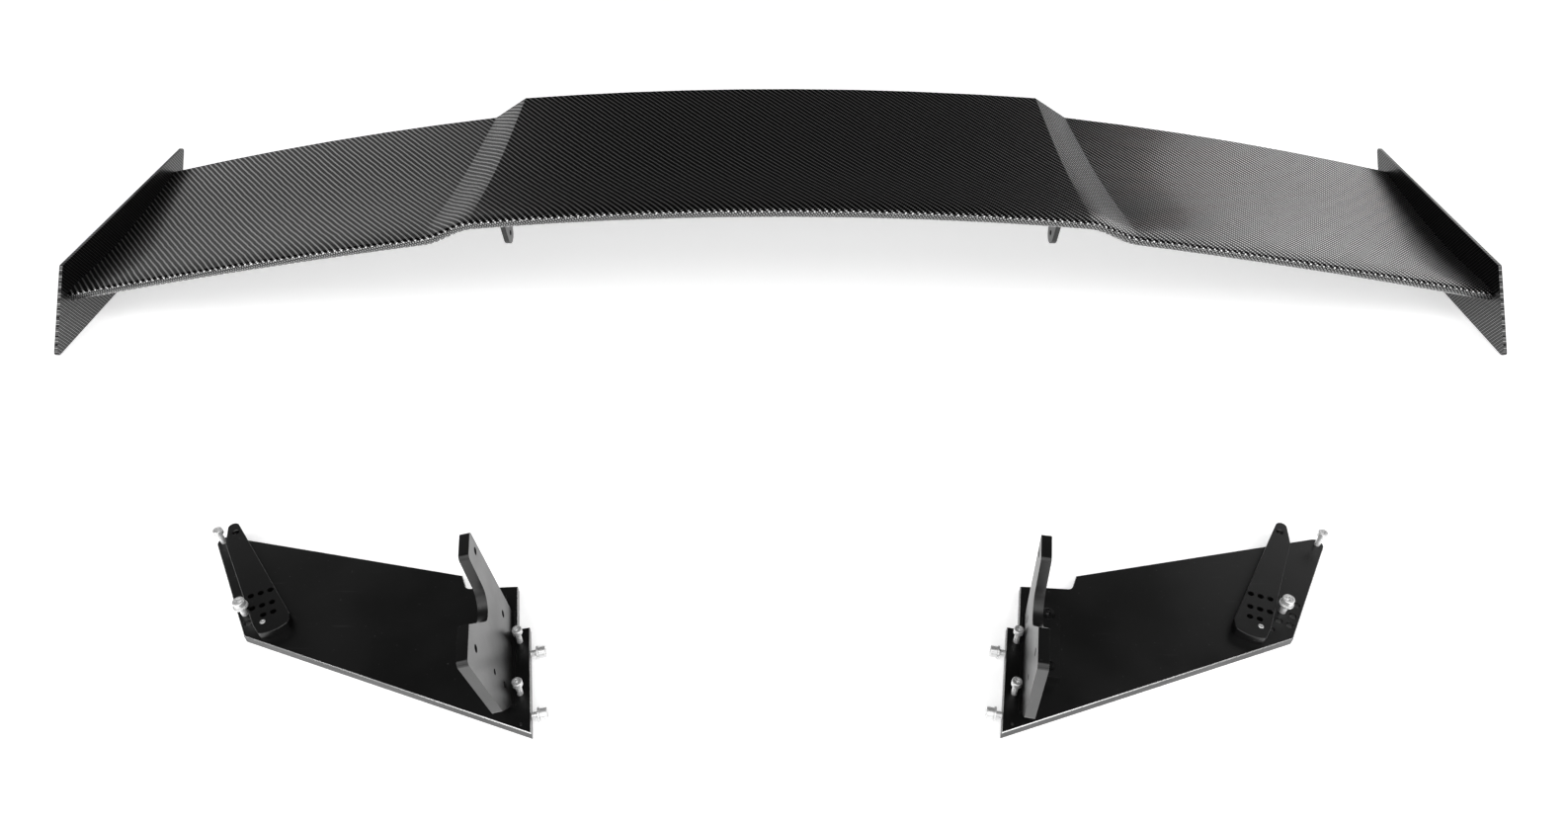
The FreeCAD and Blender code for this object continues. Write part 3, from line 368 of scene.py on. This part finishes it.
def bright_metal(name, tone, roughness, tint=(1.0, 1.0, 1.0), metallic=1.0):
    """Turned metal with a fine grain of tool marks and a faint stain."""
    shader = Shader(name)
    place = shader.place()
    grain = shader.noise(place, scale=2500.0, detail=2.0)
    stain = shader.noise(place, scale=180.0, detail=3.0)
    shader.set(Base_Color=shader.mix(stain, grey(tone * 0.8, tint), grey(tone, tint)),
               Metallic=metallic,
               Roughness=shader.ramp(stain, 0.3, 0.7, roughness * 0.7, roughness * 1.3),
               Normal=shader.bump(grain, 0.01 * MM))
    return shader.material


def make_materials():
    return {
        # carbon: each weft tone far above its warp tone is a painted sheen of one tow direction,
        # with painted shade on the other
        "carbon_skin": carbon("carbon_skin", "x", "y", weft_sheen_tone=0.7, warp_shade_tone=0.005,
                              roughness=0.38, over_nose=True),
        "carbon_plate": carbon("carbon_plate", "y", "z", weft_sheen_tone=0.24, warp_shade_tone=0.09,
                               roughness=0.38, turn=18, tow_size=0.7),
        "spar_carbon": carbon("spar_carbon", "x", "z", weft_sheen_tone=0.1, warp_shade_tone=0.02,
                              roughness=0.5),
        "black_anodised": anodised("black_anodised", worn_tone=0.55),
        "foot_anodised": anodised("foot_anodised", shine=0.55),
        "arm_anodised": anodised("arm_anodised"),
        "stainless": bright_metal("stainless", 0.85, 0.32, metallic=0.6),
        "black_steel": bright_metal("black_steel", 0.06, 0.35),
        "bare_aluminium": bright_metal("bare_aluminium", 0.6, 0.4),
        "brass_insert": bright_metal("brass_insert", 0.5, 0.35, tint=(1.0, 0.8, 0.4)),
        "rib_resin": anodised("rib_resin"),
    }


# ---------------------------------------------------------------- finer pieces

def clean_mesh(node):
    """The node's mesh as bmesh, with its corners joined and its flat faces whole."""
    work = bmesh.new()
    work.from_mesh(frame["nodes"][node].data)
    bmesh.ops.remove_doubles(work, verts=work.verts, dist=SAME_CORNER)
    bmesh.ops.dissolve_limit(work, angle_limit=FLAT_ANGLE, verts=work.verts, edges=work.edges)
    return work


def islands(work):
    """Corners of each separate solid, solid by solid in the order of the mesh."""
    seen = set()
    found = []
    for start in work.verts:
        if start in seen:
            continue
        seen.add(start)
        waiting, corners = [start], []
        while waiting:
            vert = waiting.pop()
            corners.append(vert.co.copy())
            for edge in vert.link_edges:
                other = edge.other_vert(vert)
                if other not in seen:
                    seen.add(other)
                    waiting.append(other)
        found.append(corners)
    return found


def shade_smooth(mesh):
    """Smooth shading that keeps large flat faces flat, by weighing each face by its area."""
    sums = [Vector() for _ in mesh.vertices]
    for face in mesh.polygons:
        for corner in face.vertices:
            sums[corner] += face.normal * face.area
    mesh.polygons.foreach_set("use_smooth", [True] * len(mesh.polygons))
    mesh.normals_split_custom_set_from_vertices([total.normalized() for total in sums])


def finish_piece(name, work, node):
    """Turns the bmesh into a piece that stands for the node: on its body, in its slot."""
    mesh = bpy.data.meshes.new(name)
    work.normal_update()
    work.to_mesh(mesh)
    work.free()
    piece = bpy.data.objects.new(name, mesh)
    bpy.context.scene.collection.objects.link(piece)
    mesh.materials.append(MATERIALS[FINISH.get(node, SLOTS[node])])
    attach(piece, BODY_OF[node])
    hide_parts(node)
    shade_smooth(mesh)


def soften(node, width, lift):
    """Copy of a hard-edged node with rounded edges and hole rims."""
    work = clean_mesh(node)
    sharp = [edge for edge in work.edges
             if len(edge.link_faces) == 2 and edge.calc_face_angle(0.0) > SHARP_ANGLE]
    bmesh.ops.bevel(work, geom=sharp, offset=width, offset_type="OFFSET", segments=2, profile=0.5,
                    affect="EDGES", clamp_overlap=True)
    foot = min(vert.co.z for vert in work.verts)
    for vert in work.verts:
        if vert.co.z < foot + lift:
            vert.co.z = foot + lift
    finish_piece(node + "_soft", work, node)


# ---------------------------------------------------------------- screws

def long_axis(corners, centre):
    """Direction in which the corners spread the furthest."""
    spread = Matrix(((0, 0, 0), (0, 0, 0), (0, 0, 0)))
    for corner in corners:
        away = corner - centre
        for row in range(3):
            for column in range(3):
                spread[row][column] += away[row] * away[column]
    axis = Vector((0.31, 0.17, 0.94))
    for _ in range(60):
        axis = (spread @ axis).normalized()
    return axis


class Screw:
    """Axis and main sizes of one packed screw, found from its solid's corners.

    Its own frame has its origin under the head, on the axis, and +Z towards the head.
    """

    def __init__(self, corners):
        centre = sum(corners, Vector()) / len(corners)
        axis = long_axis(corners, centre)
        along = [(corner - centre).dot(axis) for corner in corners]
        out = [((corner - centre) - axis * reach).length
               for corner, reach in zip(corners, along)]
        self.head_radius = max(out)
        head = [reach for reach, radius in zip(along, out)
                if radius > HEAD_SHARE * self.head_radius]
        if sum(head) < 0:
            axis, along, head = -axis, [-reach for reach in along], [-reach for reach in head]
        seat = min(head)
        tip = min(along)
        self.tall = max(along) - seat
        self.long = seat - tip
        self.radius = max(radius for radius, reach in zip(out, along) if reach < tip + TIP_TALL)
        self.pitch = THICK_PITCH if self.radius > THICK_RADIUS else THIN_PITCH
        turn = axis.to_track_quat("Z", "Y").to_matrix().to_4x4()
        self.frame = Matrix.Translation(centre + axis * seat) @ turn

    def ring(self, work, radius, height, kind="round"):
        verts = []
        for number in range(AROUND):
            angle = 2 * math.pi * number / AROUND
            reach = radius
            if kind == "hex":
                reach = radius / math.cos((angle + math.pi / 6) % (math.pi / 3) - math.pi / 6)
            elif kind == "knurl":
                reach -= KNURL_DEEP * (0.5 + 0.5 * math.cos(angle * KNURLS))
            elif kind == "thread":
                wave = (height / self.pitch - number / AROUND) % 1.0
                reach -= THREAD_DEEP * self.pitch * abs(2 * wave - 1)
            place = Vector((reach * math.cos(angle), reach * math.sin(angle), height))
            verts.append(work.verts.new(self.frame @ place))
        return verts

    def build(self, work, rings):
        """Skins the rings, from the tip to the bottom of the socket, and closes both ends."""
        rows = [self.ring(work, *ring) for ring in rings]
        for low, high in zip(rows, rows[1:]):
            for number in range(AROUND):
                following = (number + 1) % AROUND
                work.faces.new((low[number], low[following], high[following], high[number]))
        work.faces.new(rows[0][::-1])
        work.faces.new(rows[-1])

    def shank(self):
        """Threaded shank from its tip up to the seat."""
        depth = THREAD_DEEP * self.pitch
        rings = [(self.radius - 2 * depth, -self.long)]
        step = self.pitch / THREAD_RINGS
        height = -self.long + step * 2
        while height < -step:
            rings.append((self.radius, height, "thread"))
            height += step
        rings.append((self.radius - depth, 0.0))
        return rings

    def socket(self, top, half, deep):
        """Hex socket with a chamfered mouth and a drilled bottom."""
        return [(half * 1.22, top), (half, top - 0.25 * MM, "hex"), (half, top - deep, "hex"),
                (half * 0.9, top - deep - 0.02 * MM), (half * 0.15, top - deep - half * 0.5)]


def cap_screw(work, screw, key):
    """Socket head cap screw: knurled head with a rounded rim."""
    wide, tall = screw.head_radius, screw.tall
    head = [(wide - 0.25 * MM, 0.0), (wide, 0.2 * MM),
            (wide, 0.5 * MM, "knurl"), (wide, tall - 1.1 * MM, "knurl"),
            (wide, tall - 0.85 * MM), (wide - 0.1 * MM, tall - 0.4 * MM),
            (wide - 0.35 * MM, tall - 0.12 * MM), (wide - 0.7 * MM, tall)]
    screw.build(work, screw.shank() + head + screw.socket(tall, key / 2, tall * 0.5))


def flush_screw(work, screw, key):
    """Countersunk screw; its widest ring is its flat top."""
    wide, top = screw.head_radius, screw.tall
    slope = wide - screw.radius
    shank = [ring for ring in screw.shank() if ring[1] < top - slope - 0.3 * MM]
    head = [(screw.radius, top - slope - 0.1 * MM), (wide - 0.15 * MM, top - 0.15 * MM),
            (wide, top - 0.08 * MM), (wide - 0.1 * MM, top)]
    screw.build(work, shank + head + screw.socket(top, key / 2, slope * 0.7))


def make_screws(node, maker, key):
    """Replaces a node of screws by detailed ones in the same places."""
    source = clean_mesh(node)
    work = bmesh.new()
    for corners in islands(source):
        maker(work, Screw(corners), key)
    source.free()
    bmesh.ops.recalc_face_normals(work, faces=work.faces)
    finish_piece(node + "_fine", work, node)


def make_pieces():
    for side in SIDES:
        for stem, width, lift in ROUNDED:
            soften(stem + side, width, lift)
        for stem, key in CAP_SCREWS:
            make_screws(stem + side, cap_screw, key)
        for stem, key in FLUSH_SCREWS:
            make_screws(stem + side, flush_screw, key)


def dress_nodes():
    """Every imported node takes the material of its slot."""
    for name, node in frame["nodes"].items():
        node.data.materials.clear()
        node.data.materials.append(MATERIALS[SLOTS[name]])


# ---------------------------------------------------------------- studio

def make_floor():
    """White paper floor; to the camera it is a little brighter, and it keeps the shadows."""
    shader = Shader("floor")
    grain = shader.noise(shader.place(), scale=700.0, detail=2.0)
    paper = shader.mix(shader.ramp(grain, 0.3, 0.7), grey(0.80), grey(0.86))
    ray = shader.add("ShaderNodeLightPath").outputs
    away = shader.add("ShaderNodeVectorMath", operation="LENGTH")
    shader.feed(away.inputs[0], shader.place())
    lift = shader.math("MULTIPLY", ray["Is Camera Ray"],
                       shader.ramp(away.outputs["Value"], FLOOR_NEAR, FLOOR_FAR,
                                   FLOOR_LIFT, FLOOR_LIFT_FAR))
    glow = shader.math("MULTIPLY_ADD", ray["Is Glossy Ray"], GLOSS_LIFT, lift)
    shader.set(Base_Color=paper, Roughness=0.9, Specular_IOR_Level=0.1,
               Emission_Color=grey(1.0), Emission_Strength=glow)
    half = FLOOR_HALF
    mesh = bpy.data.meshes.new("floor")
    mesh.from_pydata([(-half, -half, 0), (half, -half, 0), (half, half, 0), (-half, half, 0)],
                     [], [(0, 1, 2, 3)])
    mesh.materials.append(shader.material)
    floor = bpy.data.objects.new("floor", mesh)
    floor.location.z = -FLOOR_DROP
    bpy.context.scene.collection.objects.link(floor)


def make_lamp(name, place, target, wide, tall, power):
    data = bpy.data.lights.new(name, "AREA")
    data.shape = "RECTANGLE"
    data.size = wide
    data.size_y = tall
    data.energy = power
    lamp = bpy.data.objects.new(name, data)
    lamp.location = place
    lamp.rotation_euler = (Vector(target) - Vector(place)).to_track_quat("-Z", "Y").to_euler()
    bpy.context.scene.collection.objects.link(lamp)


def make_world():
    """Dim surroundings that the camera sees white."""
    world = bpy.data.worlds.new("studio")
    world.use_nodes = True
    nodes, links = world.node_tree.nodes, world.node_tree.links
    level = nodes.new("ShaderNodeMath")
    level.operation = "ADD"
    level.inputs[1].default_value = WORLD_STRENGTH
    links.new(nodes.new("ShaderNodeLightPath").outputs["Is Camera Ray"], level.inputs[0])
    links.new(level.outputs[0], nodes["Background"].inputs["Strength"])
    nodes["Background"].inputs["Color"].default_value = grey(1.0)
    bpy.context.scene.world = world


def make_studio():
    make_floor()
    for lamp in LAMPS:
        make_lamp(*lamp)
    make_world()
    bpy.context.scene.view_settings.view_transform = "Standard"


def make_camera():
    data = bpy.data.cameras.new("camera")
    data.sensor_width = CAMERA_SENSOR
    data.lens = CAMERA_LENS
    data.shift_x = CAMERA_SHIFT
    camera = bpy.data.objects.new("camera", data)
    camera.location = CAMERA_PLACE
    camera.rotation_euler = (math.radians(90 - CAMERA_DOWN), 0, 0)
    bpy.context.scene.collection.objects.link(camera)
    bpy.context.scene.camera = camera


MATERIALS = make_materials()
dress_nodes()
make_pieces()
make_studio()
make_camera()
